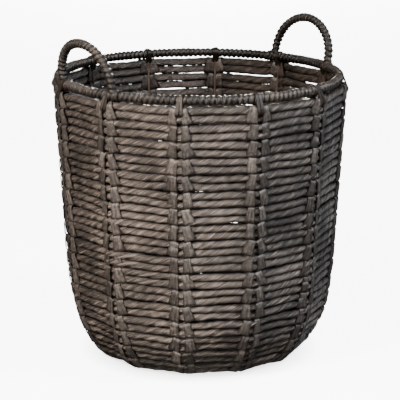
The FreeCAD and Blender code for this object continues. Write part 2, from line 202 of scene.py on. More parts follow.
class ShapeTree(TreeBuilder):
    """A geometry tree with named inputs, used through a Geometry Nodes modifier."""

    def __init__(self, name: str) -> None:
        """Start an empty tree with a geometry input and output."""
        super().__init__(bpy.data.node_groups.new(name, "GeometryNodeTree"))
        for in_out in ("INPUT", "OUTPUT"):
            self.tree.interface.new_socket(
                "Geometry", in_out=in_out, socket_type="NodeSocketGeometry"
            )
        self.entry = self.tree.nodes.new("NodeGroupInput")
        self.exit = self.tree.nodes.new("NodeGroupOutput")

    @property
    def geometry(self) -> Socket:
        """The geometry that the modifier passes in."""
        return self.entry.outputs["Geometry"]

    def size(self, name: str, kind: str = "NodeSocketFloat") -> Socket:
        """Add a named input and return its socket."""
        self.tree.interface.new_socket(name, in_out="INPUT", socket_type=kind)
        return self.entry.outputs[name]

    def store(
        self,
        geometry: Value,
        name: str,
        value: Value,
        data_type: str = "FLOAT",
        domain: str = "POINT",
    ) -> Socket:
        """Store a named attribute.

        Args:
            geometry: the geometry that gets it.
            name: the attribute's name.
            value: what to store.
            data_type: FLOAT or FLOAT_VECTOR.
            domain: POINT or INSTANCE.

        Returns:
            The geometry with the attribute.
        """
        inputs = {"Geometry": geometry, "Name": name, "Value": value}
        kind = "GeometryNodeStoreNamedAttribute"
        return self.add(kind, inputs, data_type=data_type, domain=domain).outputs[0]

    def read(self, name: str, data_type: str = "FLOAT") -> Socket:
        """Read a named attribute."""
        kind = "GeometryNodeInputNamedAttribute"
        return self.add(kind, {"Name": name}, data_type=data_type).outputs[0]

    def position(self) -> Socket:
        """Where each point is."""
        return self.add("GeometryNodeInputPosition").outputs[0]

    def offset(self, geometry: Value, offset: Value) -> Socket:
        """Move every point of a geometry by an offset."""
        inputs = {"Geometry": geometry, "Offset": offset}
        return self.add("GeometryNodeSetPosition", inputs).outputs[0]

    def stray(
        self, geometry: Value, place: Value, rate: float, detail: float, reach: Value
    ) -> Socket:
        """Move every point at random, a little differently from its neighbours.

        Args:
            geometry: the geometry to move.
            place: where the random offset is read.
            rate: how many changes of offset a metre holds.
            detail: how many finer layers the change has.
            reach: twice the longest offset along each axis.

        Returns:
            The moved geometry.
        """
        noise = self.noise(place, rate, detail, "Color")
        centred = self.vector("SUBTRACT", noise, (NOISE_MIDDLE, NOISE_MIDDLE, NOISE_MIDDLE))
        return self.offset(geometry, self.scaled(centred, reach))

    def round_corners(self, curve: Value, radius: Value, count: int) -> Socket:
        """Round the corners of a curve with a few points each."""
        inputs = {"Curve": curve, "Count": count, "Radius": radius, "Limit Radius": True}
        return self.add("GeometryNodeFilletCurve", inputs, mode="POLY").outputs[0]

    def rectangle(self, width: Value, height: Value, cuts: int) -> Socket:
        """A rectangular curve whose sides are cut into a few equal lengths.

        Args:
            width: its width, along X.
            height: its height, along Y.
            cuts: how many cuts a side has.

        Returns:
            The curve.
        """
        sizes = {"Width": width, "Height": height}
        curve = self.add("GeometryNodeCurvePrimitiveQuadrilateral", sizes).outputs[0]
        return self.add("GeometryNodeSubdivideCurve", {"Curve": curve, "Cuts": cuts}).outputs[0]

    def smooth(self, geometry: Value) -> Socket:
        """Shade a geometry's faces smooth."""
        inputs = {"Geometry": geometry, "Shade Smooth": True}
        return self.add("GeometryNodeSetShadeSmooth", inputs).outputs[0]

    def finish(self, geometry: Value, material: Value) -> None:
        """Realize what is left of instances, give it its material and send it out.

        Args:
            geometry: the finished geometry.
            material: the material input that it takes.
        """
        real = self.add("GeometryNodeRealizeInstances", {"Geometry": geometry}).outputs[0]
        dressed = self.add("GeometryNodeSetMaterial", {"Geometry": real, "Material": material})
        self.tree.links.new(dressed.outputs[0], self.exit.inputs["Geometry"])

    def identifiers(self) -> dict[str, str]:
        """Each input's identifier, by its name."""
        items = self.tree.interface.items_tree
        inputs = [item for item in items if getattr(item, "in_out", "") == "INPUT"]
        return {item.name: item.identifier for item in inputs}


def apply_tree(
    name: str, mesh: bpy.types.Mesh, shape: ShapeTree, sizes: dict[str, object]
) -> bpy.types.Object:
    """Run a shape tree on a mesh and keep the result as a plain mesh object.

    Args:
        name: the finished piece's name.
        mesh: the points or paths that the tree starts from.
        shape: the tree.
        sizes: values for the tree's named inputs.

    Returns:
        The finished object, at the origin, with no modifier.
    """
    carrier = bpy.data.objects.new(name + "_path", mesh)
    bpy.context.scene.collection.objects.link(carrier)
    modifier = carrier.modifiers.new("Shape", "NODES")
    modifier.node_group = shape.tree
    identifiers = shape.identifiers()
    for key, value in sizes.items():
        modifier[identifiers[key]] = value
    carrier.update_tag()
    graph = bpy.context.evaluated_depsgraph_get()
    result = bpy.data.meshes.new_from_object(carrier.evaluated_get(graph))
    bpy.data.objects.remove(carrier)
    piece = bpy.data.objects.new(name, result)
    bpy.context.scene.collection.objects.link(piece)
    return piece


def path_mesh(name: str, paths: Sequence[tuple[Sequence[Vector], bool]]) -> bpy.types.Mesh:
    """A mesh of bare edges, one chain for each path.

    Args:
        name: the mesh's name.
        paths: points of each path, and whether it is closed.

    Returns:
        The mesh.
    """
    points: list[Vector] = []
    edges: list[tuple[int, int]] = []
    for path, closed in paths:
        first = len(points)
        points += list(path)
        edges += [(index, index + 1) for index in range(first, len(points) - 1)]
        if closed:
            edges.append((len(points) - 1, first))
    mesh = bpy.data.meshes.new(name)
    mesh.from_pydata(points, edges, [])
    return mesh


def placed_points(name: str, places: Sequence[Place]) -> bpy.types.Mesh:
    """A mesh of bare points that carry how the band on each is turned and stretched.

    Args:
        name: the mesh's name.
        places: middle, Euler angles and scale of each band.

    Returns:
        The mesh.
    """
    mesh = bpy.data.meshes.new(name)
    mesh.from_pydata([place[0] for place in places], [], [])
    for attribute, column in (("turn", 1), ("stretch", 2)):
        layer = mesh.attributes.new(attribute, "FLOAT_VECTOR", "POINT")
        for item, place in zip(layer.data, places):
            item.vector = place[column]
    return mesh


# -------------------------------------------------------------------- finishes


@dataclass(frozen=True)
class Finish:
    """A painted or paper finish, built as a procedural material."""

    name: str
    dark: Colour
    middle: Colour
    light: Colour
    roughness: float
    specular: float
    bump_depth: float
    spread: float = 0.2
    # How far a surface's normal points outward where the painted shade inside the basket starts,
    # and where it is full.
    inward_start: float = 0.1
    inward_end: float = -0.5

    def start(self) -> tuple[bpy.types.Material, TreeBuilder, bpy.types.Node]:
        """A new material, a builder for its tree, and its surface shader."""
        material = bpy.data.materials.new(self.name)
        material.use_nodes = True
        builder = TreeBuilder(material.node_tree)
        shader = material.node_tree.nodes["Principled BSDF"]
        shader.inputs["Roughness"].default_value = self.roughness
        shader.inputs["Specular IOR Level"].default_value = self.specular
        return material, builder, shader

    def ramp(self, builder: TreeBuilder, factor: Value) -> Socket:
        """The finish's three colours along a value from 0 to 1, as far apart as its spread.

        Args:
            builder: the material's builder.
            factor: the value that picks the colour.

        Returns:
            The colour socket.
        """
        node = builder.add("ShaderNodeValToRGB", {"Fac": factor})
        elements = node.color_ramp.elements
        elements[0].position = NOISE_MIDDLE - self.spread
        elements[0].color = (*self.dark, 1)
        elements[1].position = NOISE_MIDDLE + self.spread
        elements[1].color = (*self.light, 1)
        middle = elements.new(NOISE_MIDDLE)
        middle.color = (*self.middle, 1)
        return node.outputs["Color"]

    def darken(
        self, builder: TreeBuilder, colour: Value, factor: Value, shade: Colour
    ) -> Socket:
        """Multiply a colour by a shade.

        Args:
            builder: the material's builder.
            colour: the colour to darken.
            factor: how much of the shade it gets, from 0 to 1.
            shade: what it is multiplied by where the factor is 1.

        Returns:
            The colour socket.
        """
        inputs = {"Factor": factor, 6: colour, 7: (*shade, 1)}
        node = builder.add("ShaderNodeMix", inputs, data_type="RGBA", blend_type="MULTIPLY")
        return node.outputs[2]

    def paint_inner_shade(self, builder: TreeBuilder, colour: Value, shade: Colour) -> Socket:
        """Paint shade into a colour where the surface faces the basket's axis, standing in for the
        shadow inside the basket.

        Args:
            builder: the material's builder.
            colour: the colour to deepen.
            shade: what it is multiplied by where the surface faces the axis squarely.

        Returns:
            The colour socket.
        """
        place = builder.add("ShaderNodeTexCoord").outputs["Object"]
        radial = builder.vector("NORMALIZE", builder.vector("MULTIPLY", place, (1, 1, 0)))
        outward = builder.dot(builder.add("ShaderNodeNewGeometry").outputs["Normal"], radial)
        inputs = {"Value": outward, "From Min": self.inward_start, "From Max": self.inward_end}
        inward = builder.add("ShaderNodeMapRange", inputs).outputs[0]
        return self.darken(builder, colour, inward, shade)

    def bump(self, builder: TreeBuilder, shader: bpy.types.Node, height: Value) -> None:
        """Raise the surface by up to the finish's bump depth.

        Args:
            builder: the material's builder.
            shader: the surface shader.
            height: how much of the depth each point gets, from 0 to 1.
        """
        inputs = {"Height": height, "Strength": 1.0, "Distance": self.bump_depth}
        node = builder.add("ShaderNodeBump", inputs)
        builder.tree.links.new(node.outputs["Normal"], shader.inputs["Normal"])


@dataclass(frozen=True)
class TwistedPaper(Finish):
    """Twisted paper: creased streaks that follow the strands, with painted shade in the grooves, in
    the crevices between ropes and on faces turned to the basket's axis.
    """

    spread: float = 0.115
    streaks: float = 4.4
    fibres_per_streak: float = 2.7
    fibre_share: float = 0.4
    patches: float = 11.0
    patch_share: float = 0.25
    # Painted shade in the grooves between strands: how steeply it darkens, and its shade.
    groove_power: float = 1.3
    groove_shade: Colour = (0.12, 0.10, 0.09)
    # Painted shade in the crevices between ropes.
    crevice_shade: Colour = (0.10, 0.08, 0.07)
    # Painted shade on faces turned to the basket's axis, standing in for shadow inside.
    painted_inner_shade: Colour = (0.42, 0.38, 0.36)

    def build(self) -> bpy.types.Material:
        """Make the material.

        Returns:
            The material.
        """
        material, builder, shader = self.start()
        lay = builder.add("ShaderNodeAttribute", attribute_name="lay").outputs["Vector"]
        crown = builder.add("ShaderNodeAttribute", attribute_name="crown").outputs["Fac"]
        place = builder.add("ShaderNodeTexCoord").outputs["Object"]
        creases = builder.noise(lay, self.streaks, FINE_DETAIL)
        fibres = builder.noise(lay, self.streaks * self.fibres_per_streak)
        patches = builder.noise(place, self.patches, FINE_DETAIL)
        streaked = builder.blend(creases, fibres, self.fibre_share)
        colour = self.ramp(builder, builder.blend(streaked, patches, self.patch_share))
        # Painted shade in the grooves between strands.
        groove = builder.math("POWER", builder.math("SUBTRACT", 1.0, crown), self.groove_power)
        colour = self.darken(builder, colour, groove, self.groove_shade)
        # Painted shade: darker where the rope faces its neighbour up or down the wall, standing in
        # for the shadow in the crevice between ropes.
        crevice = builder.add("ShaderNodeAttribute", attribute_name="crevice").outputs["Fac"]
        colour = self.darken(builder, colour, crevice, self.crevice_shade)
        # Painted shade: darker where the surface faces the basket's axis, standing in for the
        # shadow inside the basket.
        colour = self.paint_inner_shade(builder, colour, self.painted_inner_shade)
        builder.tree.links.new(colour, shader.inputs["Base Color"])
        self.bump(builder, shader, streaked)
        return material


@dataclass(frozen=True)
class FlatPaper(Finish):
    """Flat paper band: fine fibres along the band, crumpled across it, with painted shade along
    both edges and on faces turned to the basket's axis.
    """

    spread: float = 0.16
    fibre_rates: tuple[float, float, float] = (520.0, 40.0, 60.0)
    fibre_share: float = 0.55
    crumples: float = 260.0
    tone_share: float = 0.14
    # Painted shade along the band's two edges: half the band's width, how steeply it darkens
    # towards an edge, and its shade.
    half_width: float = 0.0065
    edge_power: float = 4.0
    edge_shade: Colour = (0.25, 0.22, 0.20)
    # Painted shade on faces turned to the basket's axis, standing in for shadow inside.
    painted_inner_shade: Colour = (0.50, 0.45, 0.42)

    def build(self) -> bpy.types.Material:
        """Make the material.

        Returns:
            The material.
        """
        material, builder, shader = self.start()
        fibre = builder.add("ShaderNodeAttribute", attribute_name="fibre").outputs["Vector"]
        tone = builder.add("ShaderNodeAttribute", attribute_name="tone").outputs["Fac"]
        place = builder.add("ShaderNodeTexCoord").outputs["Object"]
        stretched = builder.vector("MULTIPLY", fibre, self.fibre_rates)
        lines = builder.noise(stretched, 1.0, FINE_DETAIL)
        crumple = builder.noise(place, self.crumples, FINE_DETAIL)
        height = builder.blend(crumple, lines, self.fibre_share)
        colour = self.ramp(builder, builder.blend(height, tone, self.tone_share))
        # Painted shade: darker towards both edges of the band, standing in for the shade along its
        # sides.
        offset = builder.add("ShaderNodeSeparateXYZ", {0: fibre}).outputs["X"]
        outwards = builder.math("ABSOLUTE", builder.math("DIVIDE", offset, self.half_width))
        edge = builder.math("POWER", outwards, self.edge_power)
        colour = self.darken(builder, colour, edge, self.edge_shade)
        # Painted shade: darker where the surface faces the basket's axis, standing in for the
        # shadow inside the basket.
        colour = self.paint_inner_shade(builder, colour, self.painted_inner_shade)
        builder.tree.links.new(colour, shader.inputs["Base Color"])
        self.bump(builder, shader, height)
        return material


@dataclass(frozen=True)
class PaintedWire(Finish):
    """Dark painted steel wire with a little unevenness in the paint."""

    specks: float = 420.0
    speck_share: float = 0.4
    wear: float = 35.0

    def build(self) -> bpy.types.Material:
        """Make the material.

        Returns:
            The material.
        """
        material, builder, shader = self.start()
        place = builder.add("ShaderNodeTexCoord").outputs["Object"]
        specks = builder.noise(place, self.specks, FINE_DETAIL)
        wear = builder.noise(place, self.wear)
        colour = self.ramp(builder, builder.blend(wear, specks, self.speck_share))
        builder.tree.links.new(colour, shader.inputs["Base Color"])
        self.bump(builder, shader, specks)
        return material


@dataclass(frozen=True)
class PaleFloor(Finish):
    """The plain pale floor, which glows like a light table except for a painted shadow where the
    basket stands.
    """

    patches: float = 3.0
    glow: float = 4.0
    # The painted shadow under the basket is full inside the first radius and gone beyond the
    # second.
    shaded_radius: float = 0.10
    clear_radius: float = 0.17

    def build(self) -> bpy.types.Material:
        """Make the material.

        Returns:
            The material.
        """
        material, builder, shader = self.start()
        place = builder.add("ShaderNodeTexCoord").outputs["Object"]
        colour = self.ramp(builder, builder.noise(place, self.patches))
        builder.tree.links.new(colour, shader.inputs["Base Color"])
        # Painted shadow: the glow fades out towards the middle, under the basket.
        length = builder.add("ShaderNodeVectorMath", {0: place}, operation="LENGTH")
        limits = {"From Min": self.shaded_radius, "From Max": self.clear_radius}
        inputs = {"Value": length.outputs["Value"]} | limits
        clear = builder.add("ShaderNodeMapRange", inputs).outputs[0]
        glow = builder.add("ShaderNodeCombineColor", {0: clear, 1: clear, 2: clear}).outputs[0]
        builder.fill(shader.inputs["Emission Color"], glow)
        shader.inputs["Emission Strength"].default_value = self.glow
        material.cycles.emission_sampling = "NONE"
        return material


ROPE_PAPER = TwistedPaper(
    name="rope_paper",
    dark=(0.010, 0.0082, 0.0070),
    middle=(0.066, 0.056, 0.049),
    light=(0.32, 0.275, 0.24),
    roughness=0.40,
    specular=0.7,
    bump_depth=0.0034,
)
CORD_PAPER = TwistedPaper(
    name="cord_paper",
    dark=(0.006, 0.0048, 0.004),
    middle=(0.020, 0.016, 0.0135),
    light=(0.12, 0.10, 0.085),
    roughness=0.34,
    specular=0.5,
    bump_depth=0.0009,
    streaks=3.0,
    # Deeper painted shade in the grooves between the turns of cord.
    groove_shade=(0.05, 0.04, 0.035),
)
BAND_PAPER = FlatPaper(
    name="band_paper",
    dark=(0.022, 0.019, 0.017),
    middle=(0.062, 0.055, 0.050),
    light=(0.15, 0.134, 0.122),
    roughness=0.48,
    specular=0.5,
    bump_depth=0.0014,
)
TIE_PAPER = FlatPaper(
    name="tie_paper",
    dark=(0.010, 0.008, 0.006),
    middle=(0.024, 0.019, 0.016),
    light=(0.055, 0.046, 0.039),
    roughness=0.5,
    specular=0.35,
    bump_depth=0.0008,
)
WIRE_PAINT = PaintedWire(
    name="wire_paint",
    dark=(0.03, 0.022, 0.017),
    middle=(0.065, 0.049, 0.039),
    light=(0.11, 0.085, 0.068),
    roughness=0.35,
    specular=0.5,
    bump_depth=0.0001,
)
PALE_FLOOR = PaleFloor(
    name="pale_floor",
    dark=(0.44, 0.44, 0.44),
    middle=(0.45, 0.45, 0.45),
    light=(0.46, 0.46, 0.46),
    roughness=0.9,
    specular=0.1,
    bump_depth=0.0,
)


# ----------------------------------------------------------------- rib geometry


def ring_point(radius: float, angle: float, height: float) -> Vector:
    """A point of a level ring round the basket's axis."""
    return Vector((radius * math.cos(angle), radius * math.sin(angle), height))


@dataclass(frozen=True)
class RibLine:
    """Centre line of a rib wire, from the rim down the wall and in under the base."""

    rim_radius: float = 0.1915
    slope: float = math.radians(3.5)
    wall_length: float = 0.2435
    bends: tuple[tuple[float, float], ...] = (
        (0.763, math.radians(3.8)),
        (0.150, math.radians(29.8)),
        (0.024, math.radians(52.9)),
    )
    foot_length: float = 0.014
    base_rise: float = math.radians(2.5)
    rope_offset: float = 0.0067

    @property
    def rim_height(self) -> float:
        """Height of the rim ring's centre line, from the frame."""
        low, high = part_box("rim_ring")
        return (low[2] + high[2]) / 2

    @property
    def heel_end(self) -> float:
        """Distance along the wire where it first lies level."""
        return self.wall_length + sum(radius * angle for radius, angle in self.bends)

    def at(self, distance: float) -> tuple[float, float, float]:
        """Where the wire is, some way down from the rim.

        Args:
            distance: length along the wire from the level of the rim.

        Returns:
            Radius, height and slope from the vertical.
        """
        radius, height, slope = self.rim_radius, self.rim_height, self.slope
        stretches = [(self.wall_length, 0.0)]
        stretches += [(bend * angle, bend) for bend, angle in self.bends]
        stretches.append((self.foot_length, 0.0))
        for length, bend in stretches:
            step = min(length, distance)
            if bend == 0.0:
                radius -= math.sin(slope) * step
                height -= math.cos(slope) * step
            else:
                end = slope + step / bend
                radius -= bend * (math.cos(slope) - math.cos(end))
                height -= bend * (math.sin(end) - math.sin(slope))
                slope = end
            distance -= step
            if distance <= 0:
                return radius, height, slope
        slope += self.base_rise
        radius -= math.sin(slope) * distance
        return radius, height - math.cos(slope) * distance, slope

    def rope_at(self, distance: float) -> tuple[float, float]:
        """Where a rope lies outside the wire.

        Args:
            distance: length along the wire from the level of the rim.

        Returns:
            Corner radius and height of the rope's centre line.
        """
        radius, height, slope = self.at(distance)
        radius += self.rope_offset * math.cos(slope)
        return radius, height - self.rope_offset * math.sin(slope)


@dataclass(frozen=True)
class Weave:
    """How the courses are spaced along the ribs."""

    rib: RibLine = field(default_factory=RibLine)
    rib_count: int = 12
    first_course: float = 0.0189
    pitch: float = 0.02226
    spacing: float = 0.0102
    wall_courses: int = 17
    base_courses: int = 4

    @property
    def bay(self) -> float:
        """Angle between two ribs."""
        return FULL_TURN / self.rib_count

    @property
    def rib_angles(self) -> list[float]:
        """Angle of every rib from +X."""
        return [self.bay * (number + 0.5) for number in range(self.rib_count)]

    def distances(self) -> dict[str, float]:
        """Distance along the ribs of every course, by its node's name.

        Returns:
            Wall courses from the rim down, then the base courses inwards.
        """
        found = {}
        for index in range(self.wall_courses):
            found["course_%02d" % (index + 1)] = self.first_course + index * self.pitch
        first = self.rib.heel_end + self.spacing / 2
        for index in range(self.base_courses):
            found["base_course_%02d" % (index + 1)] = first + index * self.pitch
        return found

    def ring(self, radius: float, height: float) -> list[Vector]:
        """Corner points of a rope laid round the ribs."""
        return [ring_point(radius, angle, height) for angle in self.rib_angles]


# ------------------------------------------------------------------- shape trees


def laid_tube_tree() -> ShapeTree:
    """Tree that turns paths into round tubes with grooves that wind round them.

    With a few strands and a long lay it makes a twisted rope. With one strand and a short lay
    it makes cord wound close round a wire. The finish reads three attributes of the tube: crown
    is 1 on a strand and 0 in a groove, where the finish paints shade, lay runs round and along
    the strands, and crevice is 1 where the tube faces its neighbour up or down the wall, where
    the finish paints the shade between ropes as strongly as the Closeness input says.

    Returns:
        The tree.
    """
    tree = ShapeTree("laid_tube")
    corner = tree.size("Corner Radius")
    step = tree.size("Step")
    radius = tree.size("Radius")
    sides = tree.size("Sides", "NodeSocketInt")
    strands = tree.size("Strands")
    lay_length = tree.size("Lay Length")
    groove_depth = tree.size("Groove Depth")
    roundness = tree.size("Roundness")
    wander = tree.size("Wander")
    swelling = tree.size("Swelling")
    lumps = tree.size("Lumps")
    crease_rate = tree.size("Crease Rate")
    wall_slope = tree.size("Wall Slope")
    # Closeness: how much painted shade the finish puts in the crevices between ropes.
    closeness = tree.size("Closeness")
    seed = tree.size("Seed")
    material = tree.size("Material", "NodeSocketMaterial")

    curve = tree.add("GeometryNodeMeshToCurve", {"Mesh": tree.geometry}).outputs[0]
    lengths = {"Curve": tree.round_corners(curve, corner, ROPE_CORNER_POINTS), "Length": step}
    even = tree.add("GeometryNodeResampleCurve", lengths, mode="LENGTH").outputs[0]
    shift = tree.combine(seed, tree.math("MULTIPLY", seed, SEED_SKEW), 0.0)
    shifted = tree.vector("ADD", tree.position(), shift)
    reach = tree.math("MULTIPLY", wander, WANDER_GAIN)
    laid = tree.stray(even, shifted, BENDS_RATE, COARSE_DETAIL, reach)

    spline = tree.add("GeometryNodeSplineParameter")
    total = tree.add("GeometryNodeSplineLength").outputs["Length"]
    turns = tree.math("ROUND", tree.math("DIVIDE", total, lay_length))
    laid = tree.store(laid, "along", spline.outputs["Length"])
    laid = tree.store(laid, "turned", tree.math("MULTIPLY", spline.outputs["Factor"], turns))
    plump = tree.noise(shifted, SWELLING_RATE, COARSE_DETAIL)
    plump = tree.math("SUBTRACT", plump, NOISE_MIDDLE)
    scale = tree.math("MULTIPLY_ADD", plump, tree.math("MULTIPLY", swelling, SWELLING_GAIN), 1.0)

    circle = tree.add("GeometryNodeCurvePrimitiveCircle", {"Resolution": sides, "Radius": 1.0})
    index = tree.add("GeometryNodeInputIndex").outputs[0]
    section = tree.store(circle.outputs[0], "around", tree.math("DIVIDE", index, sides))
    sizes = {"Geometry": section, "Scale": tree.combine(radius, radius, 1.0)}
    profile = tree.add("GeometryNodeTransform", sizes).outputs[0]
    sweep = {"Curve": laid, "Profile Curve": profile, "Scale": scale, "Fill Caps": True}
    tube = tree.add("GeometryNodeCurveToMesh", sweep).outputs[0]

    turns_here = tree.math("ADD", tree.read("around"), tree.read("turned"))
    turn = tree.math("MULTIPLY", turns_here, FULL_TURN)
    swing = tree.math("MULTIPLY", turn, tree.math("MULTIPLY", strands, 0.5))
    ridge = tree.math("POWER", tree.math("ABSOLUTE", tree.math("SINE", swing)), roundness)
    tube = tree.store(tube, "crown", ridge)
    lay = tree.combine(
        tree.math("COSINE", turn),
        tree.math("SINE", turn),
        tree.math("MULTIPLY_ADD", tree.read("along"), crease_rate, seed),
    )
    tube = tree.store(tube, "lay", lay, "FLOAT_VECTOR")
    sink = tree.math("MULTIPLY", tree.math("SUBTRACT", ridge, 1.0), groove_depth)
    lumpy = tree.noise(tree.read("lay", "FLOAT_VECTOR"), LUMP_RATE, FINE_DETAIL)
    rough = tree.math("MULTIPLY", tree.math("SUBTRACT", lumpy, NOISE_MIDDLE), lumps)
    normal = tree.add("GeometryNodeInputNormal").outputs[0]
    # Crevice: how squarely the tube faces up or down the wall, which the finish turns into painted
    # shade between ropes.
    radial = tree.vector("NORMALIZE", tree.vector("MULTIPLY", tree.position(), (1, 1, 0)))
    outward_part = tree.scaled(radial, tree.math("SINE", wall_slope))
    upward_part = tree.combine(0, 0, tree.math("COSINE", wall_slope))
    up_wall = tree.vector("ADD", outward_part, upward_part)
    towards = tree.math("ABSOLUTE", tree.dot(normal, up_wall))
    towards = tree.math("POWER", towards, CREVICE_POWER)
    tube = tree.store(tube, "crevice", tree.math("MULTIPLY", towards, closeness))
    tube = tree.offset(tube, tree.scaled(normal, tree.math("ADD", sink, rough)))
    tree.finish(tree.smooth(tube), material)
    return tree


def band_tree() -> ShapeTree:
    """Tree that puts a flat paper band, bent into a closed loop, on every point.

    Each point's attributes turn (Euler angles) and stretch (scale) place its band. The finish
    reads two attributes: fibre runs across and along the band, and tone is one number a band.

    Returns:
        The tree.
    """
    tree = ShapeTree("paper_band")
    band_width = tree.size("Band Width")
    thickness = tree.size("Thickness")
    loop_length = tree.size("Loop Length")
    loop_depth = tree.size("Loop Depth")
    corner = tree.size("Corner Radius")
    taper = tree.size("Taper")
    crumple = tree.size("Crumple")
    seed = tree.size("Seed", "NodeSocketInt")
    material = tree.size("Material", "NodeSocketMaterial")

    rail = tree.rectangle(loop_length, loop_depth, 2)
    rail = tree.round_corners(rail, corner, BAND_CORNER_POINTS)
    rail = tree.store(rail, "along", tree.add("GeometryNodeSplineParameter").outputs["Length"])
    section = tree.rectangle(thickness, band_width, 1)
    across = tree.add("ShaderNodeSeparateXYZ", {0: tree.position()}).outputs["Y"]
    section = tree.store(section, "across", across)
    sweep = {"Curve": rail, "Profile Curve": section}
    loop = tree.add("GeometryNodeCurveToMesh", sweep).outputs[0]
    stand = {"Geometry": loop, "Rotation": (0.0, -math.pi / 2, 0.0)}
    upright = tree.add("GeometryNodeTransform", stand).outputs[0]
    axes = tree.add("ShaderNodeSeparateXYZ", {0: tree.position()})
    height = tree.math("DIVIDE", axes.outputs["Z"], loop_length)
    widening = tree.math("MULTIPLY", height, tree.math("MULTIPLY", taper, -2.0))
    shift = tree.math("MULTIPLY", axes.outputs["X"], widening)
    tapered = tree.offset(upright, tree.combine(shift, 0.0, 0.0))

    turn = tree.add("FunctionNodeEulerToRotation", {0: tree.read("turn", "FLOAT_VECTOR")})
    instances = {
        "Points": tree.geometry,
        "Instance": tapered,
        "Rotation": turn.outputs[0],
        "Scale": tree.read("stretch", "FLOAT_VECTOR"),
    }
    bands = tree.add("GeometryNodeInstanceOnPoints", instances).outputs[0]
    random_tone = tree.add("FunctionNodeRandomValue", {"Seed": seed}, data_type="FLOAT")
    bands = tree.store(bands, "tone", random_tone.outputs[1], domain="INSTANCE")
    loops = tree.add("GeometryNodeRealizeInstances", {"Geometry": bands}).outputs[0]
    reach = tree.math("MULTIPLY", crumple, CRUMPLE_GAIN)
    loops = tree.stray(loops, tree.position(), DENT_RATE, 2.0, reach)
    fibre = tree.combine(tree.read("across"), tree.read("along"), tree.read("tone"))
    loops = tree.store(loops, "fibre", fibre, "FLOAT_VECTOR")
    angle = tree.add("GeometryNodeInputMeshEdgeAngle").outputs["Unsigned Angle"]
    sharp = tree.math("GREATER_THAN", angle, SHARP_ANGLE)
    edges = {"Geometry": tree.smooth(loops), "Selection": sharp, "Shade Smooth": False}
    creased = tree.add("GeometryNodeSetShadeSmooth", edges, domain="EDGE").outputs[0]
    tree.finish(creased, material)
    return tree


# ------------------------------------------------------------------ the basket


def settle(piece: bpy.types.Object, slot: Slot, *nodes: str) -> None:
    """Tell the frame what a finished piece rides on and replaces.

    Args:
        piece: the finished object.
        slot: the material slot of its kind; not used.
        nodes: the CAD nodes that it stands for.
    """
    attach(piece, BODY)
    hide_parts(*nodes)
    log.info("%s: %d faces", piece.name, len(piece.data.polygons))


@dataclass
class RopeCourses:
    """The twisted paper ropes: a pair for every course, and the coil in the base's middle."""

    weave: Weave
    tube: ShapeTree
    material: bpy.types.Material
    radius: float = 0.0057
    base_radius: float = 0.0051
    heel_radius: float = 0.0064
    spread: float = 0.0107
    strands: float = 3.0
    shortest_lay: float = 0.046
    longest_lay: float = 0.072
    shallowest_groove: float = 0.0009
    deepest_groove: float = 0.0016
    coil_turns: int = 3
    coil_spacing: float = 0.0103
    coil_points: int = 24
    seed: int = 7

    @property
    def flat_lay(self) -> dict[str, float]:
        """Sizes of the ropes under the base, which lie flatter and calmer."""
        return {"Wander": 0.0004, "Swelling": 0.06, "Lumps": 0.0022}

    def sizes(self, radius: float, slope: float, dice: random.Random) -> dict[str, object]:
        """Sizes for one pair of ropes, a little different from the next.

        Args:
            radius: the rope's radius.
            slope: the wall's slope from the vertical where the ropes lie.
            dice: where the variation comes from.

        Returns:
            Values for the tube tree's named inputs.
        """
        return {
            "Corner Radius": 0.016,
            "Step": 0.0029,
            "Radius": radius,
            "Sides": 24,
            "Strands": self.strands,
            "Lay Length": dice.uniform(self.shortest_lay, self.longest_lay),
            "Groove Depth": dice.uniform(self.shallowest_groove, self.deepest_groove),
            "Roundness": 0.45,
            "Wander": 0.0017,
            "Swelling": 0.18,
            "Lumps": 0.0040,
            "Crease Rate": 12.0,
            "Wall Slope": slope,
            # Full painted shade in the crevices between ropes.
            "Closeness": 1.0,
            "Seed": dice.uniform(0.0, 9.0),
            "Material": self.material,
        }

    def build_course(self, node: str, distance: float, dice: random.Random) -> bpy.types.Object:
        """Make one course's pair of ropes.

        Args:
            node: the course's CAD node.
            distance: how far down the ribs it lies.
            dice: where its variation comes from.

        Returns:
            The finished piece.
        """
        rings = []
        for shift in (-0.5, 0.5):
            radius, height = self.weave.rib.rope_at(distance + shift * self.spread)
            rings.append((self.weave.ring(radius, height), True))
        heel = self.weave.distances()["course_%02d" % self.weave.wall_courses]
        radius = self.heel_radius if distance == heel else self.radius
        if distance > heel:
            radius = self.base_radius
        sizes = self.sizes(radius, self.weave.rib.at(distance)[2], dice)
        if distance > heel:
            sizes |= self.flat_lay
        return apply_tree(node + "_ropes", path_mesh(node, rings), self.tube, sizes)

    def build_coil(self, dice: random.Random) -> bpy.types.Object:
        """Make the coil that closes the middle of the base.

        Args:
            dice: where its variation comes from.

        Returns:
            The finished piece.
        """
        last = max(self.weave.distances().values())
        first = last + self.weave.pitch - self.weave.spacing / 2
        rings = []
        for turn in range(self.coil_turns):
            radius, height = self.weave.rib.rope_at(first + turn * self.coil_spacing)
            points = [Vector((radius, 0, height)) for _ in range(self.coil_points)]
            for index, point in enumerate(points):
                point.rotate(Matrix.Rotation(FULL_TURN * index / self.coil_points, 3, "Z"))
            rings.append((points, True))
        sizes = self.sizes(self.base_radius, self.weave.rib.at(first)[2], dice)
        sizes |= self.flat_lay | {"Corner Radius": 0.0, "Lay Length": self.shortest_lay}
        paths = path_mesh("centre_coil", rings)
        return apply_tree("centre_coil_rope", paths, self.tube, sizes)

    def build(self) -> None:
        """Make and settle every rope."""
        dice = random.Random(self.seed)
        for node, distance in self.weave.distances().items():
            settle(self.build_course(node, distance, dice), Slot.ROPE, node)
        settle(self.build_coil(dice), Slot.ROPE, "centre_coil")


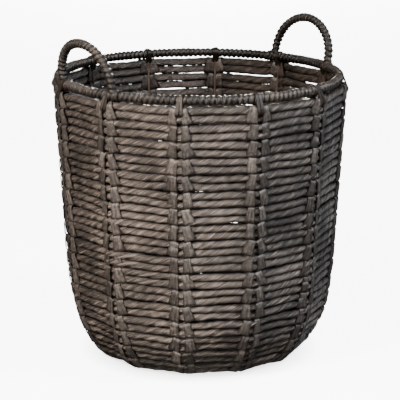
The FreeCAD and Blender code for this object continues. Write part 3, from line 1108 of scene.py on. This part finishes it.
@dataclass
class PaperBands:
    """Flat paper bands, each a closed loop round the two things that it binds."""

    weave: Weave
    tree: ShapeTree
    material: bpy.types.Material
    width: float = 0.0130
    thickness: float = 0.0009
    corner_share: float = 0.46
    taper: float = 0.24
    crumple: float = 0.0013
    lean: float = math.radians(13)
    lean_spread: float = math.radians(9)
    seed: int = 21

    def turned(self, across: Vector, rise: Vector, lean: float, turn: Matrix) -> Vector:
        """Euler angles of a band on one rib.

        Args:
            across: the band's direction across, before it leans, for a rib on +X.
            rise: the direction along the band's loop, for a rib on +X.
            lean: how far the band leans, in radians.
            turn: the turn from +X to the rib.

        Returns:
            The Euler angles.
        """
        outward = rise.cross(across)
        tilt = Matrix.Rotation(lean, 3, outward)
        axes = Matrix((tilt @ across, outward, tilt @ rise)).transposed()
        return Vector((turn @ axes).to_euler("XYZ"))

    def bind(self, name: str, places: list[Place], length: float, depth: float) -> bpy.types.Object:
        """Make a group of bands.

        Args:
            name: the piece's name.
            places: middle, Euler angles and scale of each band.
            length: height of a loop, at the middle of the band's thickness.
            depth: depth of a loop, at the middle of the band's thickness.

        Returns:
            The finished piece.
        """
        sizes = {
            "Band Width": self.width,
            "Thickness": self.thickness,
            "Loop Length": length,
            "Loop Depth": depth,
            "Corner Radius": depth * self.corner_share,
            "Taper": self.taper,
            "Crumple": self.crumple,
            "Seed": self.seed,
            "Material": self.material,
        }
        return apply_tree(name, placed_points(name, places), self.tree, sizes)


@dataclass
class Lashings(PaperBands):
    """The flat paper bands that bind every course to every rib."""

    gap: float = 0.0010
    gap_spread: float = 0.0012
    narrowest: float = 0.85
    widest: float = 1.12
    loosest: float = 1.05
    rope_radius: float = 0.0055
    foot_rope_radius: float = 0.0041

    @property
    def loop_depth(self) -> float:
        """Depth of a loop at the middle of the band's thickness."""
        return 2 * self.rope_radius + self.thickness

    @property
    def loop_length(self) -> float:
        """Height of a loop round a plain wall pair, at the middle of the band's thickness."""
        return self.weave.spacing + self.loop_depth

    def place(self, distance: float, angle: float, side: int, dice: random.Random) -> Place:
        """Where one band sits.

        Args:
            distance: the course's distance down the rib.
            angle: the rib's angle.
            side: 1 for the band that lies counterclockwise of the rib, -1 for the other.
            dice: where its variation comes from.

        Returns:
            The band's middle, its Euler angles and its scale.
        """
        half = self.weave.spacing / 2
        upper_radius, upper_height = self.weave.rib.rope_at(distance - half)
        lower_radius, lower_height = self.weave.rib.rope_at(distance + half)
        half_bay = self.weave.bay / 2
        corner = Vector(((upper_radius + lower_radius) / 2, 0, (upper_height + lower_height) / 2))
        run = Vector((-math.sin(half_bay), side * math.cos(half_bay), 0))
        outward = Vector((math.cos(half_bay), side * math.sin(half_bay), 0))
        rise = outward * (upper_radius - lower_radius) * math.cos(half_bay)
        rise += UP * (upper_height - lower_height)
        spread = rise.length
        rise.normalize()
        half_run = lower_radius * math.sin(half_bay)
        wanted = self.width * dice.uniform(self.narrowest, self.widest)
        width = min(wanted, half_run - self.gap)
        shift = self.gap + width / 2 + dice.uniform(0.0, self.gap_spread)
        lean = max(0.0, self.lean + dice.uniform(-1, 1) * self.lean_spread)
        turn = Matrix.Rotation(angle, 3, "Z")
        angles = self.turned(run * -side, rise, side * lean, turn)
        depth = dice.uniform(1.0, self.loosest)
        length = (spread + self.loop_depth) / self.loop_length
        return turn @ (corner + run * shift), angles, Vector((width / self.width, depth, length))

    def build_row(self, name: str, places: list[Place]) -> bpy.types.Object:
        """Make a group of lashings."""
        return self.bind(name, places, self.loop_length, self.loop_depth)

    def build(self) -> None:
        """Make and settle every lashing."""
        dice = random.Random(self.seed)
        distances = self.weave.distances()
        foot = distances.pop("base_course_01")
        angles = self.weave.rib_angles
        spots = [(distance, side) for distance in distances.values() for side in (-1, 1)]
        for number, angle in enumerate(angles, start=1):
            places = [self.place(distance, angle, side, dice) for distance, side in spots]
            node = "lashings_%02d" % number
            settle(self.build_row(node + "_bands", places), Slot.BAND, node)
        foot_row = replace(self, rope_radius=self.foot_rope_radius)
        places = [foot_row.place(foot, angle, side, dice) for angle in angles for side in (-1, 1)]
        settle(foot_row.build_row("foot_lashing_bands", places), Slot.BAND, "foot_lashings")


@dataclass
class RimTies(PaperBands):
    """Bands that hold the first rope up to the wound rim, one on each side of every rib."""

    width: float = 0.0038
    thickness: float = 0.0018
    taper: float = 0.1
    crumple: float = 0.0009
    lean: float = math.radians(3)
    lean_spread: float = math.radians(3)
    seed: int = 5
    clearance: float = 0.0052
    offset: float = 0.0022

    def build(self) -> None:
        """Make and settle the ties."""
        dice = random.Random(self.seed)
        rib = self.weave.rib
        rope_radius, rope_height = rib.rope_at(self.weave.first_course - self.weave.spacing / 2)
        rim_centre = Vector((rib.rim_radius, 0, rib.rim_height))
        rope_centre = Vector((rope_radius, 0, rope_height))
        rise = (rim_centre - rope_centre).normalized()
        across = Vector((0, -1, 0))
        places = []
        for angle in self.weave.rib_angles:
            turn = Matrix.Rotation(angle, 3, "Z")
            for side in (-1, 1):
                lean = self.lean + dice.uniform(-1, 1) * self.lean_spread
                middle = (rim_centre + rope_centre) / 2 - across * side * self.offset
                angles = self.turned(across, rise, side * lean, turn)
                places.append((turn @ middle, angles, Vector((1, 1, 1))))
        depth = 2 * self.clearance + self.thickness
        length = (rim_centre - rope_centre).length + depth
        settle(self.bind("rim_tie_bands", places, length, depth), Slot.BAND, "rim_ties")


@dataclass
class WoundRim:
    """The rim, and paper cord wound close round it."""

    weave: Weave
    tube: ShapeTree
    material: bpy.types.Material
    radius: float = 0.0067
    cord_width: float = 0.0071
    circle_points: int = 180
    seed: float = 3.0

    def sizes(self) -> dict[str, object]:
        """Sizes of the winding, which the handles share."""
        return {
            "Corner Radius": 0.0,
            "Step": 0.0007,
            "Radius": self.radius,
            "Sides": 14,
            "Strands": 1.0,
            "Lay Length": self.cord_width,
            "Groove Depth": 0.0021,
            "Roundness": 0.9,
            "Wander": 0.0005,
            "Swelling": 0.12,
            "Lumps": 0.0012,
            "Crease Rate": 60.0,
            "Wall Slope": 0.0,
            # No painted crevice shade on the wound cord.
            "Closeness": 0.0,
            "Seed": self.seed,
            "Material": self.material,
        }

    def build(self) -> None:
        """Make and settle the rim's winding."""
        rib = self.weave.rib
        angles = [FULL_TURN * index / self.circle_points for index in range(self.circle_points)]
        points = [ring_point(rib.rim_radius, angle, rib.rim_height) for angle in angles]
        path = path_mesh("rim_cord", [(points, True)])
        settle(apply_tree("rim_cord", path, self.tube, self.sizes()), Slot.CORD, "rim_winding")


@dataclass
class Handle:
    """One upright loop handle, wound with the same cord as the rim."""

    side: Side
    rim: WoundRim
    half_width: float = 0.0564
    arch_base: float = 0.0115
    top: float = 0.0626
    lean: float = math.radians(10.8)
    radius: float = 0.0064
    leg_start: float = 0.0020
    wrap_radius: float = 0.0080
    wrap_half_length: float = 0.0105
    arch_points: int = 96

    def route(self) -> list[Vector]:
        """Centre line of the handle, from one foot over the arch to the other."""
        rib = self.rim.weave.rib
        rise = self.top - self.arch_base
        outline = [Vector((self.half_width, self.leg_start))]
        for index in range(self.arch_points + 1):
            turn = math.pi * index / self.arch_points
            up = self.arch_base + rise * math.sin(turn)
            outline.append(Vector((self.half_width * math.cos(turn), up)))
        outline.append(Vector((-self.half_width, self.leg_start)))
        foot_distance = math.sqrt(rib.rim_radius ** 2 - self.half_width ** 2)
        points = []
        for across, up in outline:
            reach = foot_distance + up * math.sin(self.lean)
            height = rib.rim_height + up * math.cos(self.lean)
            points.append(Vector((self.side.value * reach, across, height)))
        return points

    def wrap_routes(self) -> list[list[Vector]]:
        """Centre lines of the extra turns that bind each foot to the rim."""
        rib = self.rim.weave.rib
        foot_angle = math.asin(self.half_width / rib.rim_radius)
        half_angle = self.wrap_half_length / rib.rim_radius
        routes = []
        for end in (-1, 1):
            path = []
            for step in (-1.0, -0.5, 0.0, 0.5, 1.0):
                angle = end * foot_angle + step * half_angle
                point = ring_point(rib.rim_radius, angle, rib.rim_height)
                point.x *= self.side.value
                path.append(point)
            routes.append(path)
        return routes

    def build(self) -> None:
        """Make and settle the handle's winding, and the extra turns at its feet."""
        name = self.side.name.lower() + "_handle"
        seed = self.rim.seed + self.side.value
        cord = path_mesh(name, [(self.route(), False)])
        wraps = path_mesh(name + "_wraps", [(path, False) for path in self.wrap_routes()])
        parts = (("_cord", cord, self.radius), ("_foot_wraps", wraps, self.wrap_radius))
        for ending, paths, radius in parts:
            sizes = self.rim.sizes() | {"Radius": radius, "Seed": seed}
            piece = apply_tree(name + ending, paths, self.rim.tube, sizes)
            settle(piece, Slot.CORD, name + "_winding")


@dataclass
class WireFrame:
    """The steel wires of the CAD model, which show inside the basket."""

    material: bpy.types.Material

    def dress(self) -> None:
        """Give every wire that no piece replaces the painted finish."""
        wires = [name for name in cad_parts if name.startswith(WIRE_NODES)]
        for name in wires:
            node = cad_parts[name]
            if not node.material_slots:
                node.data.materials.append(self.material)
            for slot in node.material_slots:
                slot.material = self.material
        log.info("painted %d wires", len(wires))


# ---------------------------------------------------------------------- studio


@dataclass(frozen=True)
class SoftLight:
    """A square soft light that faces the basket's middle.

    Its azimuth is counted from the camera's and its elevation from the horizon, in degrees. Its
    size is the side of its square, and its power is in watts.
    """

    name: str
    azimuth: float
    elevation: float
    distance: float
    size: float
    power: float
    colour: Colour


LIGHTS = (
    SoftLight("warm_key", -40, 40, 2.2, 0.5, 88, (1.0, 0.90, 0.82)),
    SoftLight("cool_side", 68, 44, 2.3, 0.5, 66, (0.86, 0.93, 1.0)),
    SoftLight("low_front", -8, -2.5, 2.4, 0.16, 38, (1.0, 0.93, 0.87)),
    SoftLight("back", 180, 3, 6.0, 1.0, 520, (1.0, 0.95, 0.90)),
)


@dataclass
class Stage:
    """Floor, surroundings, lights and camera."""

    rim_height: float
    azimuth: float = math.radians(-37.81)
    elevation: float = math.radians(9.964)
    pitch: float = math.radians(13.772)
    camera_distance: float = 2.5823
    lens: float = 169.4
    sensor_width: float = 36.0
    shift: float = 0.0028
    far_limit: float = 100.0
    floor_half: float = 30.0
    world_strength: float = 0.12
    look: str = "AgX - Medium High Contrast"

    def direction(self, azimuth: float, elevation: float) -> Vector:
        """Unit vector from the basket towards an azimuth (0 is -Y) and elevation."""
        flat = math.cos(elevation)
        return Vector((math.sin(azimuth) * flat, -math.cos(azimuth) * flat, math.sin(elevation)))

    def aim(self, thing: bpy.types.Object, place: Vector, away: Vector) -> None:
        """Put a light or camera in the scene.

        Args:
            thing: the light or camera.
            place: where it stands.
            away: the direction that its back is turned to.
        """
        thing.location = place
        thing.rotation_mode = "QUATERNION"
        thing.rotation_quaternion = away.to_track_quat("Z", "Y")
        bpy.context.scene.collection.objects.link(thing)

    def add_floor(self) -> None:
        """A wide plain floor, which no bounced or reflected light sees."""
        half = self.floor_half
        corners = [(-half, -half, 0), (half, -half, 0), (half, half, 0), (-half, half, 0)]
        mesh = bpy.data.meshes.new("floor")
        mesh.from_pydata(corners, [], [(0, 1, 2, 3)])
        mesh.materials.append(PALE_FLOOR.build())
        floor = bpy.data.objects.new("floor", mesh)
        bpy.context.scene.collection.objects.link(floor)
        floor.visible_diffuse = False
        floor.visible_glossy = False

    def add_light(self, light: SoftLight) -> None:
        """Set up one of the lights.

        Args:
            light: where it stands and how it shines.
        """
        data = bpy.data.lights.new(light.name, "AREA")
        data.size = light.size
        data.energy = light.power
        data.color = light.colour
        azimuth = self.azimuth + math.radians(light.azimuth)
        away = self.direction(azimuth, math.radians(light.elevation))
        place = away * light.distance + UP * self.rim_height / 2
        self.aim(bpy.data.objects.new(light.name, data), place, away)

    def add_world(self) -> None:
        """A plain white surrounding."""
        world = bpy.data.worlds.new("studio")
        world.use_nodes = True
        background = world.node_tree.nodes["Background"]
        background.inputs["Color"].default_value = (1, 1, 1, 1)
        background.inputs["Strength"].default_value = self.world_strength
        bpy.context.scene.world = world

    def add_camera(self) -> None:
        """The camera, looking slightly down at the basket from the left of its front."""
        data = bpy.data.cameras.new("camera")
        data.lens = self.lens
        data.sensor_width = self.sensor_width
        data.shift_x = self.shift
        data.clip_end = self.far_limit
        camera = bpy.data.objects.new("camera", data)
        away = self.direction(self.azimuth, self.elevation)
        place = away * self.camera_distance + UP * self.rim_height
        self.aim(camera, place, self.direction(self.azimuth, self.pitch))
        bpy.context.scene.camera = camera

    def build(self) -> None:
        """Set up the whole studio."""
        self.add_floor()
        self.add_world()
        for light in LIGHTS:
            self.add_light(light)
        bpy.context.scene.view_settings.look = self.look
        self.add_camera()


def main() -> None:
    """Build the basket, piece by piece, in its studio."""
    weave = Weave()
    Stage(rim_height=weave.rib.rim_height).build()
    tube = laid_tube_tree()
    band = band_tree()
    RopeCourses(weave, tube, ROPE_PAPER.build()).build()
    Lashings(weave, band, BAND_PAPER.build()).build()
    RimTies(weave, band, TIE_PAPER.build()).build()
    rim = WoundRim(weave, tube, CORD_PAPER.build())
    rim.build()
    for side in Side:
        Handle(side, rim).build()
    WireFrame(WIRE_PAINT.build()).dress()


if __name__ == "__main__":
    logging.basicConfig(level=logging.INFO, format="%(name)s: %(message)s")
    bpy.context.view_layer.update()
    main()
